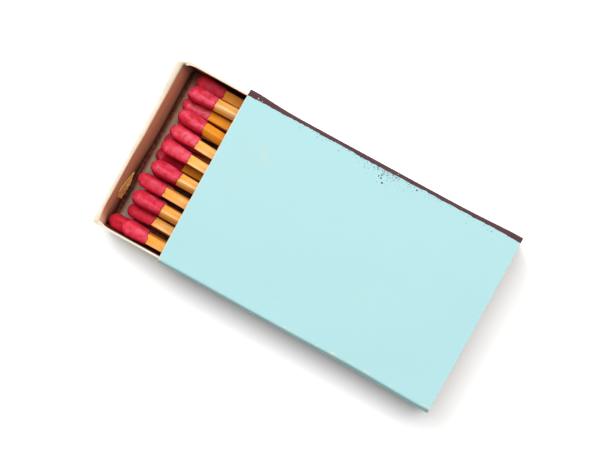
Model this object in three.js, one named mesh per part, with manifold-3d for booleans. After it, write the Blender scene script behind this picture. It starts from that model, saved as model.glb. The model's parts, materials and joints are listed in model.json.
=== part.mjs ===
// A sliding card matchbox that lies flat with its tray part way out and loose matches in it.
// Millimetres. X runs along the box and the tray is drawn out towards -X, Y runs across it and Z is up.
// The origin is the middle of the sleeve's base.
import * as THREE from "three";
import { mergeVertices } from "three/addons/utils/BufferGeometryUtils.js";
import Module from "manifold-3d";

// Sleeve: one strip of card folded round four sides, lapped and glued under the base
const sleeveLength = 58;
const sleeveWidth = 36.3;
const sleeveHeight = 15;
const sleeveCard = 0.3;
const sleeveFold = 0.6; // outside radius of each fold
const lapWidth = 24; // inner base panel, from the near wall
const lapEdgeInset = 0.35; // raw edge of the outer base panel, from the near side
const glueLine = 0.05;
const glueInset = 1.5;

// Strikers: a thin coat on both long sides, printed a little too far round the sleeve
const strikerCoat = 0.12;
const strikerLap = 0.1; // what shows on the top, past the far fold
const farStrikerFoot = 2.2;
const nearStrikerFoot = 1.2;
const nearStrikerTop = 12.9;

// Tray: one piece of card with single long walls and rolled, double end walls
const trayLength = 57.6;
const trayWidth = 35.45;
const trayHeight = 13.6;
const trayCard = 0.3;
const trayFold = 0.6; // outside radius of the folds round the floor
const trayOut = 14.6; // drawn out of the sleeve
const trayShift = 0.07; // it lies a little towards the far wall
const slideGap = 0.05; // under the tray's floor
const panelGap = 0.05; // between the layers of an end wall
const tabLength = 11;
const tabFold = 0.4; // middle radius of the fold at a corner
const endWallInset = 0.08; // raw side edges of an end panel, from the long walls' outsides

// Matches: square splints with moulded heads
const matchLength = 50;
const splintSide = 1.9;
const splintChamfer = 0.12;
const headLength = 5.8;
const headHalfWidth = 1.5;
const headDome = 1.75; // length of the round tip
const headLip = 0.35; // length of the rounded foot
const headLipHalfWidth = 1.2;
const headTaper = 0.7; // share of the narrowing to the foot that is done before the rounded lip
const headCover = 1.3; // compound in front of the splint's end
const headSquareness = 3; // exponent of the head's rounded square section
const layerGap = 0.13; // air between one layer of matches and the next

// Facets
const foldFacets = 5; // to a quarter turn
const headFacets = 12;
const domeRings = 4;
const bodyRings = 2;
const bite = 0.5; // how far panels of one sheet run into each other where they are joined
const weld = 1e-4;

// How the matches lie, layer by layer from the floor up. Each row gives the head's place across the tray from
// its middle, the gap between its tip and the end wall, and its turns about Z and its own length in degrees.
const bottomLayer = [
  [15.5, 2.3, 0.2, 0],
  [11.7, 2.7, -0.2, 0],
  [7.9, 2.4, 0.2, 0],
  [2.8, 1.55, 0.4, 0],
  [-0.45, 1.5, -0.2, 0],
  [-3.5, 2.5, -0.1, 0],
  [-6.55, 2.8, -0.2, 0],
  [-9.6, 2.4, -0.1, 0],
  [-12.65, 2.7, -0.2, 0],
  [-15.7, 2.3, 0.1, 0],
];
const secondLayer = [
  [15.6, 2.2, 0, 4],
  [10.6, 1.9, -1.0, -12],
  [7.3, 2.6, 0.3, 6],
  [4.2, 4.0, 0.6, -5],
  [-2.8, 3.4, -0.9, 3],
  [-6.15, 2.6, -1.2, -4],
  [-9.23, 2.8, -1.3, 5],
  [-12.4, 2.4, -1.8, -14],
  [-15.55, 2.3, -0.7, 2],
];
const thirdLayer = [
  [13.0, 2.4, 0.8, -42],
  [8.2, 2.8, -4.0, -46],
  [4.9, 2.8, -3.3, 4],
  [1.55, 2.7, -2.6, -5],
  [-2.8, 2.9, -0.9, -38],
  [-6.15, 1.8, -1.8, 8],
  [-9.65, 2.5, -0.7, -40],
  [-15.65, 0.7, -0.5, 10],
];
const topLayer = [[-15.5, 4.2, -0.7, 3]];
const layers = [bottomLayer, secondLayer, thirdLayer, topLayer];

// Colours
const blueCard = new THREE.MeshStandardMaterial({ color: 0xbfe9ea, roughness: 0.6, metalness: 0 });
const brownCoat = new THREE.MeshStandardMaterial({ color: 0x54393d, roughness: 0.95, metalness: 0 });
const creamCard = new THREE.MeshStandardMaterial({ color: 0xf4ead6, roughness: 0.85, metalness: 0 });
const paleWood = new THREE.MeshStandardMaterial({ color: 0xf0b766, roughness: 0.7, metalness: 0 });
const redCompound = new THREE.MeshStandardMaterial({ color: 0xd5364f, roughness: 0.8, metalness: 0 });

const wasm = await Module();
wasm.setup();

const degrees = THREE.MathUtils.degToRad;
const quarter = Math.PI / 2;
const axisX = new THREE.Vector3(1, 0, 0);
const axisY = new THREE.Vector3(0, 1, 0);
const axisZ = new THREE.Vector3(0, 0, 1);

// Section of a card that runs straight for each number and folds by each turn, along its middle line.
function foldedSection(start, heading, steps, thickness) {
  const left = [];
  const right = [];
  const at = new THREE.Vector2(...start);
  let angle = heading;
  const leftward = () => new THREE.Vector2(-Math.sin(angle), Math.cos(angle));
  const mark = () => {
    const half = leftward().multiplyScalar(thickness / 2);
    left.push(at.clone().add(half));
    right.push(at.clone().sub(half));
  };
  mark();
  for (const step of steps) {
    if (typeof step === "number") {
      at.add(new THREE.Vector2(step, 0).rotateAround(new THREE.Vector2(), angle));
      mark();
      continue;
    }
    const arm = step.radius * Math.sign(step.turn);
    const centre = at.clone().addScaledVector(leftward(), arm);
    const facets = Math.round((foldFacets * Math.abs(step.turn)) / quarter);
    for (let i = 0; i < facets; i++) {
      angle += step.turn / facets;
      at.copy(centre).addScaledVector(leftward(), -arm);
      mark();
    }
  }
  return new THREE.Shape([...left, ...right.reverse()]);
}

function rectangle(low, high) {
  const corners = [low, [high[0], low[1]], high, [low[0], high[1]]];
  return new THREE.Shape(corners.map((corner) => new THREE.Vector2(...corner)));
}

function extrude(shape, depth) {
  return new THREE.ExtrudeGeometry(shape, { depth, bevelEnabled: false, steps: 1 });
}

// A section drawn in Y and Z, carried along X.
function extrudeLengthwise(section, from, to) {
  const turned = new THREE.Matrix4().makeBasis(axisY, axisZ, axisX);
  return extrude(section, to - from).applyMatrix4(turned).translate(from, 0, 0);
}

// A profile drawn in X and Z, carried across Y.
function extrudeCrosswise(profile, from, to) {
  const turned = new THREE.Matrix4().makeBasis(axisX, axisZ, axisY.clone().negate());
  return extrude(profile, to - from).applyMatrix4(turned).translate(0, to, 0);
}

// A plan drawn in X and Y, carried up Z.
function extrudeUpright(plan, from, to) {
  return extrude(plan, to - from).translate(0, 0, from);
}

function toSolid(geometry) {
  const bare = geometry.clone().deleteAttribute("normal").deleteAttribute("uv");
  const merged = mergeVertices(bare, weld);
  return new wasm.Manifold(
    new wasm.Mesh({
      numProp: 3,
      vertProperties: merged.attributes.position.array,
      triVerts: Uint32Array.from(merged.index.array),
    }),
  );
}

function toGeometry(solid) {
  const { vertProperties, triVerts } = solid.getMesh();
  const geometry = new THREE.BufferGeometry();
  geometry.setAttribute("position", new THREE.BufferAttribute(vertProperties, 3));
  geometry.setIndex(new THREE.BufferAttribute(triVerts, 1));
  geometry.computeVertexNormals();
  return geometry;
}

function addMesh(group, name, geometry, material) {
  const mesh = new THREE.Mesh(geometry, material);
  mesh.name = name;
  group.add(mesh);
}

// Sleeve

// The strip starts at the lap's free edge, goes up the near wall, over the top and down the far wall,
// and ends in the outer base panel under the lap.
function sleeveGeometry() {
  const half = sleeveWidth / 2;
  const fold = { turn: -quarter, radius: sleeveFold - sleeveCard / 2 };
  const lapMiddle = 1.5 * sleeveCard + glueLine;
  const lapFree = -half + sleeveCard + lapWidth;
  const steps = [
    lapFree - (-half + sleeveFold),
    fold,
    sleeveHeight - sleeveFold - (lapMiddle + fold.radius),
    fold,
    sleeveWidth - 2 * sleeveFold,
    fold,
    sleeveHeight - 2 * sleeveFold,
    fold,
    sleeveWidth - sleeveFold - lapEdgeInset,
  ];
  const strip = foldedSection([lapFree, lapMiddle], Math.PI, steps, sleeveCard);
  const glueBite = sleeveCard / 4;
  const glue = rectangle(
    [-half + sleeveFold + glueInset, sleeveCard - glueBite],
    [lapFree - glueInset, sleeveCard + glueLine + glueBite],
  );
  const end = sleeveLength / 2;
  const folded = toSolid(extrudeLengthwise(strip, -end, end));
  const glued = toSolid(extrudeLengthwise(glue, -end + glueInset, end - glueInset));
  return toGeometry(folded.add(glued));
}

function farStrikerGeometry() {
  const half = sleeveWidth / 2;
  const fold = { turn: -quarter, radius: sleeveFold + strikerCoat / 2 };
  const start = [half - sleeveFold - strikerLap, sleeveHeight + strikerCoat / 2];
  const steps = [strikerLap, fold, sleeveHeight - sleeveFold - farStrikerFoot];
  const coat = foldedSection(start, 0, steps, strikerCoat);
  return extrudeLengthwise(coat, -sleeveLength / 2, sleeveLength / 2);
}

function nearStrikerGeometry() {
  const face = -sleeveWidth / 2;
  const coat = rectangle([face - strikerCoat, nearStrikerFoot], [face, nearStrikerTop]);
  return extrudeLengthwise(coat, -sleeveLength / 2, sleeveLength / 2);
}

// Tray, with its own origin in the middle of the underside of its floor

const endWallThickness = 3 * trayCard + 2 * panelGap;
const rollRadius = endWallThickness / 2;
const tabMiddle = -trayLength / 2 + 1.5 * trayCard + panelGap;
const longWallEnd = tabMiddle + tabFold;

// Floor and both long walls, as far as the corner folds.
function troughSolid() {
  const half = trayWidth / 2 - trayCard / 2;
  const fold = { turn: quarter, radius: trayFold - trayCard / 2 };
  const wall = trayHeight - trayFold;
  const steps = [wall, fold, trayWidth - 2 * trayFold, fold, wall];
  const section = foldedSection([-half, trayHeight], -quarter, steps, trayCard);
  return toSolid(extrudeLengthwise(section, longWallEnd, -longWallEnd));
}

// The end panel folds up from the floor, rolls over at the rim and comes down again inside.
// Its inner half is narrower, to go between the long walls.
function endWallSolid() {
  const floorFold = { turn: -quarter, radius: trayFold - trayCard / 2 };
  const roll = { turn: -Math.PI, radius: rollRadius - trayCard / 2 };
  const outerEnd = -trayLength / 2;
  const start = longWallEnd + bite;
  const steps = [
    start - (outerEnd + trayFold),
    floorFold,
    trayHeight - rollRadius - trayFold,
    roll,
    trayHeight - rollRadius - trayCard - panelGap,
  ];
  const profile = foldedSection([start, trayCard / 2], Math.PI, steps, trayCard);
  const outerHalf = trayWidth / 2 - endWallInset;
  const innerHalf = trayWidth / 2 - trayCard - panelGap;
  const relief = rectangle(
    [outerEnd + rollRadius, trayCard + panelGap / 2],
    [outerEnd + endWallThickness + bite, trayHeight + bite],
  );
  return toSolid(extrudeCrosswise(profile, -outerHalf, outerHalf))
    .subtract(toSolid(extrudeCrosswise(relief, innerHalf, outerHalf + bite)))
    .subtract(toSolid(extrudeCrosswise(relief, -outerHalf - bite, -innerHalf)));
}

// The end of a long wall, folded in and tucked between the two layers of the end wall.
function tabSolid(side) {
  const wallMiddle = side * (trayWidth / 2 - trayCard / 2);
  const corner = { turn: side * quarter, radius: tabFold };
  const plan = foldedSection([longWallEnd + bite, wallMiddle], Math.PI, [bite, corner, tabLength], trayCard);
  return toSolid(extrudeUpright(plan, trayCard + panelGap, trayHeight - rollRadius - panelGap));
}

function trayGeometry() {
  const end = endWallSolid().add(tabSolid(1)).add(tabSolid(-1));
  const otherEnd = toSolid(toGeometry(end).rotateZ(Math.PI));
  return toGeometry(troughSolid().add(end).add(otherEnd));
}

// Matches, each with its own origin in the middle of its head and its tail towards +X

function splintSection() {
  const half = splintSide / 2;
  const cut = half - splintChamfer;
  const quarterPoints = [new THREE.Vector2(half, cut), new THREE.Vector2(cut, half)];
  const centre = new THREE.Vector2();
  const points = [0, 1, 2, 3].flatMap((turn) =>
    quarterPoints.map((point) => point.clone().rotateAround(centre, turn * quarter)),
  );
  return new THREE.Shape(points);
}

function splintGeometry() {
  const tip = -headLength / 2;
  return extrudeLengthwise(splintSection(), tip + headCover, tip + matchLength);
}

// Half width of a head's section in the direction of an angle, where 1 is half the width across its flats.
function roundedSquare(angle, exponent) {
  const sum = Math.abs(Math.cos(angle)) ** exponent + Math.abs(Math.sin(angle)) ** exponent;
  return sum ** (-1 / exponent);
}

// The dipped head is revolved, then squared from its round tip to its foot, and cut out round the splint.
function headGeometry() {
  const profile = [];
  for (let i = 0; i <= domeRings; i++) {
    const angle = (i / domeRings) * quarter;
    profile.push([headHalfWidth * Math.sin(angle), headDome * (1 - Math.cos(angle))]);
  }
  const bodyEnd = headLength - headLip;
  for (let i = 1; i <= bodyRings; i++) {
    const part = i / bodyRings;
    const halfWidth = THREE.MathUtils.lerp(headHalfWidth, headLipHalfWidth, headTaper * part ** 2);
    profile.push([halfWidth, THREE.MathUtils.lerp(headDome, bodyEnd, part)]);
  }
  profile.push([headLipHalfWidth, headLength], [0, headLength]);
  const points = profile.map(([radius, along]) => new THREE.Vector2(radius, along));
  const head = new THREE.LatheGeometry(points, headFacets);
  const place = head.attributes.position;
  for (let i = 0; i < place.count; i++) {
    const along = place.getY(i);
    const squared = THREE.MathUtils.smoothstep(along, 0, headDome);
    const exponent = THREE.MathUtils.lerp(2, headSquareness, squared);
    const spread = roundedSquare(Math.atan2(place.getZ(i), place.getX(i)), exponent);
    place.setXYZ(i, place.getX(i) * spread, along, place.getZ(i) * spread);
  }
  head.rotateZ(-quarter).translate(-headLength / 2, 0, 0);
  return toGeometry(toSolid(head).subtract(toSolid(splintGeometry())));
}

// Half the height of a rolled square bar whose edges are rounded or cut back.
function rolledHalfHeight(halfSide, cutBack, roll) {
  const turn = degrees(Math.abs(roll));
  return (halfSide - cutBack) * (Math.cos(turn) + Math.sin(turn)) + cutBack;
}

function headHalfHeight(roll) {
  const cornerReach = headHalfWidth * roundedSquare(quarter / 2, headSquareness);
  const cornerRadius = (headHalfWidth * Math.SQRT2 - cornerReach) / (Math.SQRT2 - 1);
  return rolledHalfHeight(headHalfWidth, cornerRadius, roll);
}

function splintHalfHeight(roll) {
  return rolledHalfHeight(splintSide / 2, 0, roll);
}

// A match lies with its head on the heads below and its tail on the tails below.
function addMatch(tray, number, [across, lead, turn, roll], headRest, tailRest) {
  const headRise = headRest + headHalfHeight(roll);
  const tailRise = tailRest + splintHalfHeight(roll);
  const tilt = Math.asin((headRise - tailRise) / (matchLength - headLength / 2));
  const match = new THREE.Group();
  const tipEnd = -trayLength / 2 + endWallThickness + lead;
  match.position.set(tipEnd + headLength / 2, across, headRise);
  match.rotation.set(degrees(roll), tilt, degrees(turn), "ZYX");
  const label = String(number).padStart(2, "0");
  addMesh(match, `splint_${label}`, splintGeometry(), paleWood);
  addMesh(match, `head_${label}`, headGeometry(), redCompound);
  tray.add(match);
}

function addMatches(tray) {
  let headRest = trayCard + panelGap;
  let tailRest = trayCard + panelGap;
  let number = 0;
  for (const layer of layers) {
    for (const row of layer) {
      number += 1;
      addMatch(tray, number, row, headRest, tailRest);
    }
    const rolls = layer.map((row) => row[3]);
    headRest += 2 * Math.max(...rolls.map(headHalfHeight)) + layerGap;
    tailRest += 2 * Math.max(...rolls.map(splintHalfHeight)) + layerGap;
  }
}

const matchbox = new THREE.Group();
addMesh(matchbox, "sleeve", sleeveGeometry(), blueCard);
addMesh(matchbox, "far_striker", farStrikerGeometry(), brownCoat);
addMesh(matchbox, "near_striker", nearStrikerGeometry(), brownCoat);

const tray = new THREE.Group();
const trayLift = 2 * sleeveCard + glueLine + slideGap;
tray.position.set((trayLength - sleeveLength) / 2 - trayOut, trayShift, trayLift);
addMesh(tray, "tray", trayGeometry(), creamCard);
addMatches(tray);
matchbox.add(tray);

export default matchbox;
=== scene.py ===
import bisect
import itertools
import json
import random
from math import copysign, cos, exp, hypot, pi, radians, sin, sqrt

import bmesh
import bpy
from mathutils import Matrix, Vector, noise


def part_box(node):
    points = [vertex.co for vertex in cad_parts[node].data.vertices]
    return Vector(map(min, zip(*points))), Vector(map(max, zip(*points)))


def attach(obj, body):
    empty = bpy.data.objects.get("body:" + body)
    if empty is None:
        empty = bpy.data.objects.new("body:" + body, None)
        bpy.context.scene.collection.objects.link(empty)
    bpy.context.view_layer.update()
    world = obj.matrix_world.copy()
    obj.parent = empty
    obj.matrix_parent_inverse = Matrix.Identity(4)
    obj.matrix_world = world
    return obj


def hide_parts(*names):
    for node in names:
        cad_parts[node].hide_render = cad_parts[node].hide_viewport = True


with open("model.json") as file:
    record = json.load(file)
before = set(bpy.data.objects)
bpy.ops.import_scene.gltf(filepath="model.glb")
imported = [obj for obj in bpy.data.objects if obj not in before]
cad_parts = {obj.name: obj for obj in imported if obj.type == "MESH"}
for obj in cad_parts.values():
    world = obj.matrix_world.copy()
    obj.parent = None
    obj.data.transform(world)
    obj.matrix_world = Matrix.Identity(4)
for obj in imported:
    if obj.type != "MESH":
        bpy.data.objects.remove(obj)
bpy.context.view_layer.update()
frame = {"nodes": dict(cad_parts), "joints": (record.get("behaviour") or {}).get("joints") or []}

MM = 0.001
QUARTER = pi / 2
FOLD_STEPS = 8  # in a quarter turn
SHARP_ANGLE = 40  # degrees past which an edge isn't smoothed
# A spacing holds the finest step, at both ends of a run, the widest step and the growth between them.
# Waves hold the height, the length and a shift of the seed of each wave.
LINE_SPACING = (0.2, 1.0, 1.5)

# Sleeve
SLEEVE_CARD = 0.3
SLEEVE_FOLD = 0.6  # outside radius
NEAR_TOP_FOLD = 0.32
LAP_WIDTH = 24.0
LAP_EDGE_INSET = 0.35
GLUE_LINE = 0.05
SLEEVE_SPACING = (0.07, 0.6, 1.4)
# How far the near top fold lies inside the wall below it, in the mouth's half and past LEAN_CHANGE
NEAR_LEAN = (0.42, 0.62)
LEAN_CHANGE = 14.0
LEAN_HEIGHT = 1.4
# Place along the sleeve, reach and amount of what use has spread the top folds by
FAR_FLARES = ((-29.0, 6.0, 0.58), (29.0, 8.0, 0.38))
NEAR_FLARES = ((-29.0, 3.0, 0.12), (-10.0, 22.0, 0.09), (29.0, 14.0, 0.48))
FLARE_START = 0.4  # share of the half width from which the top follows its folds
TOP_ROLL, TOP_WAVE, TOP_SEED = 0.1, 15.0, 3.0  # how the top rises and falls
TOP_MARGIN = 4.0  # from a fold to where the top rolls freely
# Amounts with their reach
REAR_CREEP = (0.12, 2.0)  # how far the top stands out past the other cut end
CUT_ROUGHNESS, CUT_WAVE = (0.06, 0.6), 2.2
CUT_PINCH = (0.3, 0.2)  # share of its thickness that the card has lost at its cut ends
CORNER_CRUSH = (0.08, 1.3)
# Strength and reach of worn print along the mouth and the other end, on the folds and at the corners
MOUTH_CHIP = (1.05, 0.15)
REAR_CHIP = (0.8, 0.03)
FOLD_WEAR = (0.3, 0.5)
CORNER_WEAR = (0.25, 0.7)
SCUFF_LINE = 0.6  # from the near side to the middle of the scuffs along its top fold
SCUFF_WIDTH = 0.17
# Place along the sleeve, reach and strength of each scuff on the near top fold
SCUFFS = (
    (-15.9, 0.9, 0.4), (-1.3, 1.4, 0.75), (5.3, 0.7, 0.55), (8.0, 1.6, 0.7),
    (12.0, 0.9, 0.6), (15.6, 1.4, 0.75), (21.0, 1.4, 0.6), (27.6, 1.0, 0.7),
)
SHADE_START, SHADE_END = (0.1, 0.35), (2.0, 1.1)  # depths of the band of painted shade under the near top fold
# Place, reach and strength of faint stains on the top
STAINS = (
    ((-22.5, 9.8), 2.8, 0.5), ((-20.0, 8.2), 2.2, 0.4),
    ((-24.0, 2.0), 3.4, 0.35), ((9.0, -6.0), 5.0, 0.2),
)

# Strikers
STRIKER_COAT = 0.06
STRIKER_SUNK = 0.03
COAT_EDGE, COAT_BEVEL = 0.01, 0.12  # thickness at the coat's edges, and the width over which it grows
COAT_SPACING, COAT_ROWS = (0.04, 0.16, 1.5), 64
COAT_GRIT = ((0.022, 0.34, 0), (0.0132, 0.17, 0))
# Long waves with small teeth on them
RAGGED_EDGE = ((0.1, 5.0, 0), (0.11, 0.9, 0), (0.08, 0.33, 5))
FAR_SEED, NEAR_SEED, EDGE_SHIFTS = 2.0, 11.0, (0.0, 20.0)
FAR_STRIKER_LAP = 0.06  # past the far fold, on the top
LAP_SWELL = ((-2.0, 4.0, 0.14),)  # place along the sleeve, reach and amount of a wider stretch of it
FAR_STRIKER_FOOT = 2.2
NEAR_STRIKER_TOP = 12.9
NEAR_STRIKER_FOOT = 1.2
# Place along the sleeve, distance past the coat's edge and radius of the larger drops of coat on the top
DROPS = (
    (1.1, 2.43, 0.21), (0.55, 1.7, 0.17), (-0.05, 1.57, 0.13),
    (7.5, 0.6, 0.18), (-8.9, 1.04, 0.09), (2.3, 0.27, 0.12),
)
# Count of the small drops, distance past the edge where they start, how fast they thin out, and radii
FINE_DROPS = (130, 0.1, 3.0, (0.03, 0.08))
SPATTER_DROPS = (85, 0.15, 1.4, (0.035, 0.1))
FINE_SPREAD = (-28.0, 28.0, 2.0)  # ends and middle along the sleeve
SPATTER = (0.6, 2.0)  # middle and spread
DROP_SEED = 7
DROP_SIDES = 9
DROP_RINGS, DROP_TOP = ((1.0, -0.01), (0.75, 0.03), (0.35, 0.045)), 0.05  # share of the radius, and lift
DROP_UNEVEN, DROP_WAVE = 0.35, 0.8
# Place along the sleeve, place across it and reach of the chips in the far coat
CHIPS = ((-26.8, 17.8, 0.17), (-25.9, 17.65, 0.12), (16.4, 17.8, 0.14), (3.0, 17.85, 0.12))

# Tray
TRAY_CARD = 0.3
TRAY_FOLD = 0.6  # outside radius of the folds round the floor
PANEL_GAP = 0.05
TAB_LENGTH = 11.0
TAB_FOLD = 0.4  # middle radius
TAB_DIP = 0.1  # length round the corner where the tab starts to dip
END_PANEL_INSET = 0.08
ROLL_EDGE = 0.42  # outside radius of the two folds of the roll
ROLL_INSET = 0.32  # raw side edge of the rolled-in panel, from the outside of the long wall
ROLL_NARROWED = 0.6  # share of the roll that narrows the panel
TROUGH_SPACING = (0.12, 0.8, 1.25)
END_SPACING = (0.2, 0.8, 1.5)
TAB_SPACING = (0.3, 1.2, 1.5)
# Reach along x and y that use has blunted each corner over, by the signs of x and y, and how: 1 is a
# flat, 2 is round
TRAY_CORNERS = {
    (-1, 1): (1.95, 1.1, 1.15), (-1, -1): (0.8, 0.8, 2.0),
    (1, 1): (1.3, 1.3, 2.0), (1, -1): (1.1, 1.1, 2.0),
}
WALL_SAG, SAG_CHANGE, SAG_WAVE = 0.07, 0.05, 9.0  # how far the long walls lean in
SAG_ZONE = (0.8, 0.95)  # shares of the half width
RIM_ROUGHNESS, RIM_WAVE = 0.025, 0.8
RIM_BURR, BURR_DEPTHS = 0.09, (0.8, 0.15)  # what the cut has raised inside the long walls' rims
CORNER_LIP, LIP_DEPTH = (0.55, 1.5), 1.2  # how far those rims are thickened at the drawn-out end
# What is torn out of the rolled panels' side edges just inside the rim, by the signs of x and y
CORNER_NOTCH = {(-1, 1): 0.12, (-1, -1): 0.05, (1, 1): 0.3, (1, -1): 0.3}
NOTCH_REACH = 0.5
# Height and length of the rolled-in panels' waves, how far they lie back, and where that is full
END_SWELL, SWELL_WAVE, SWELL_BACK, SWELL_START = 0.05, 3.5, 0.6, 2.0
ROLL_LEAN, LEAN_ACROSS = 0.16, (-2.0, 4.0)  # how far the drawn-out end's roll draws in at the near side
ROLL_SPREAD, SPREAD_HEIGHT = (0.4, 6.0), 3.0  # how far it bulges out at the far side
CORNER_BULGE = (1.1, 1.9)  # how far the rolled-in panel stands off at the near corner of that end
BULGE_FULL, BULGE_END = 1.5, (7.0, 2.5)  # lengths past the roll
TEAR, TEAR_REACH, TEAR_DEPTH = (-42.25, 16.75), 0.3, 1.5  # a small tear in the rim of the far corner, with painted shade in it

# Painted light inside the tray: a warm tint of painted shade and red bounce light from the heads, red
# bounce light on the long walls, and painted shade. A pair of distances is where it starts and where it is
# full.
PANEL_ZONE = (-0.4, 1.5)  # inwards from the end walls, what counts as their rolled-in panels
BOUNCE_DEPTH, BOUNCE_SIDE, BOUNCE_RISE = (-0.2, 0.9), (0.3, 2.0), (0.05, 0.3)  # from rim, long walls and floor
NEAR_SIDE_BOUNCE, FLOOR_BOUNCE = 0.45, 0.5
WALL_ZONE, WALL_START = 0.2, 0.5  # what counts as the long walls
# Painted red bounce light from the heads on the inner faces of the long walls
RED_BOUNCE_DEPTH = (0.2, 1.5)
BOUNCE_FADE = (27.0, 14.0)  # from the drawn-out end
FAR_FROM_HEADS = 0.3  # share of the painted bounce light that is left past the fade
NEAR_RED_BOUNCE, NEAR_WALL_SHADE = 0.85, 0.85  # on the near wall
# Painted shade along the foot of the end walls: its amount and reach inwards, and its height by the place
# across
BAND_SHADE, BAND_START, BAND_REACH, BAND_BACK = 1.1, 0.1, 0.95, (-0.6, -0.45)
BAND_HEIGHTS, BAND_CHANGE = (5.0, 2.4), (-10.0, 4.0)
UNDER_START, UNDER_DEPTH, FAR_WALL_UNDER = (3.0, 6.0), (3.0, 7.0), 0.5  # painted shade under the matches
# Amount and reach of painted shade in the far corners and on the floor along the far wall
CORNER_SHADE, CORNER_DEPTH = (0.8, 1.0), (0.5, 2.5)
NOOK_SHADE, NOOK_START, FLOOR_ZONE = (0.85, 2.2), 0.8, 0.1

# The torn flake on the drawn-out end wall: two edges of (across, up), from its upper tip to its foot
FLAKE_UPPER_EDGE = ((-5.9, 6.2), (-7.4, 8.0), (-9.0, 9.6), (-10.4, 10.2), (-11.5, 8.6))
FLAKE_LOWER_EDGE = ((-5.9, 6.0), (-7.2, 6.5), (-8.9, 6.5), (-10.2, 5.6), (-11.5, 7.0))
FLAKE_UPPER_TEETH = ((0.35, 0.5, 4),)
FLAKE_LOWER_TEETH = ((0.9, 0.7, 8), (0.5, 0.25, 9))
FLAKE_LENGTH = 9.0
FLAKE_ROWS, FLAKE_COLUMNS = 40, 14
FLAKE_CARD, FLAKE_THINNED = 0.12, 0.6  # thickness, and the share that its free edge has lost
FLAKE_GAP = 0.02
FLAKE_LIFT, FLAKE_LIFT_CHANGE, FLAKE_CURL = 0.45, 0.3, 1.6
FLAKE_WAVE, FLAKE_SEED = 2.0, 6

# Matches
MATCH_SEED, WAVE_SEEDS = 28, (10, 90)
LIT_WAY = Vector((0, 0.45, 0.9)).normalized()
UNDER_RANGE = (0.85, -0.2)  # facing the light, where a side counts as open and where it takes full painted shade
AXIS_REACH, AXIS_FACING = 0.3, 0.6  # of the middles of the ends
HEAD_HALF_WIDTH = 1.5
HEAD_DOME = 1.65
FOOT_HALF_WIDTH = 1.22
HEAD_TAPER, HEAD_TAPER_POWER = 0.9, 1.5
HEAD_SQUARENESS = 2.9
HEAD_SIDES, DOME_RINGS, BODY_RINGS = 56, 16, 26
HEAD_SHARP_ANGLE = 70
FOOT_DEPTH = 0.25  # from the end, where the body stops
FOOT_RINGS = ((0.1, 1.22), (0.0, 1.13), (0.02, 0.83))  # distance from the end, and half width
# How far the compound has run along the splint past the foot of the plain head, where it shows
FOOT_PAST = {"18": -0.2, "20": 0.15, "21": 0.1, "22": 0.4, "23": 0.4, "25": -0.1, "26": 0.5, "28": -0.45}
PLAIN_FOOT_PAST = 0.3
FOOT_WAVES = ((0.22, 0.6, 0), (0.13, 0.25, 0))
FOOT_SLANT = (0.05, 0.28)
HEAD_WIDTHS, WIDTH_FADE = (0.95, 1.05), (0.6, 1.0)
TIP_LEAN = 0.12
HEAD_WAVES = ((0.12, 1.1, 0), (0.035, 0.3, 0))
HEAD_ROOM = (0.05, -0.03)  # how far lumps may stand out of the plain head, above and below its middle
PITS_PER_HEAD = 16
PIT_START, PIT_END = 0.5, 0.9  # from the tip, and as a share of the head
PIT_REACH, PIT_DEPTH = (0.12, 0.26), (0.05, 0.13)
SHADED_PIT_DEPTH = 0.11  # depth past which a pit gets painted shade
# Painted shade on each listed head, from 0 to 1, laid over the whole head
HEAD_SHADES = {
    "11": 0.33, "18": 0.4, "20": 0.08, "21": 0.08, "22": 0.06, "23": 0.15,
    "24": 0.19, "25": 0.24, "26": 0.24, "27": 0.4, "28": 0.2,
}
BURIED_SHADE, BURIED_START = 0.8, (1.0, 2.6)  # painted shade on the heads of the bottom layer, behind the tips
SPLINT_HALF = 0.95
SPLINT_EDGE = 0.14
SPLINT_SIDE_STEPS = 6
SPLINT_SPACING = (0.15, 1.0, 1.6)
SPLINT_RELIEF = 0.03
SPLINT_GRAIN = ((1.0, 9.0, 0.38), (0.7, 3.0, 0.2))  # share, stretch along the splint and size
SPLINT_BOW = 0.07
SPLINT_TWIST = 1.5  # degrees
SPLINT_CUT, SPLINT_CUT_WAVE = 0.08, 0.6
TAIL_LIFT = 0.06
# How dark the wood of each listed splint is, from 0 to 1, where it shows: its own tone, set darker on some
# splints as painted shade
TONES = {
    "05": 1.0, "11": 0.8, "12": 1.0, "18": 0.25, "20": 0.3, "21": 0.95, "22": 0.25,
    "23": 0.25, "24": 0.5, "25": 0.5, "26": 0.62, "27": 0.7, "28": 0.65,
}
OTHER_TONES = (0.0, 0.75)
# How far painted shade darkens the splints of the lower layers, by the height of their heads: the bottom
# layer and the second one
LOWER_LAYER_SHADE = ((4.0, 0.8), (7.0, 0.3))
# Splints that take no painted shade for their layer
UNSHADED_SPLINTS = ("05", "11", "12", "18")

# Camera, fitted to the corners of the sleeve and the tray in a 612 by 472 picture
CAMERA_PLACE = Vector((17.433, 5.547, 331.7))
CAMERA_TURN = (1.128, 4.323, 28.783)  # degrees
CAMERA_LENS = 100.0
CAMERA_SENSOR = 36.0
CLIP_START = 0.01  # metres

# Floor and light, in metres and watts
FLOOR_HALF, FLOOR_DROP = 1.5, 0.00002
ROOM_LIGHT = 0.295
# Direction from the box, distance, size and power of the soft lights
SOFTBOXES = {
    "overhead": ((-0.01, 0.235, 1.0), 0.9, (0.7, 0.39), 8.7),
    "window": ((-0.72, 0.38, 0.5), 1.0, (0.95, 0.95), 7.0),
}

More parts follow.
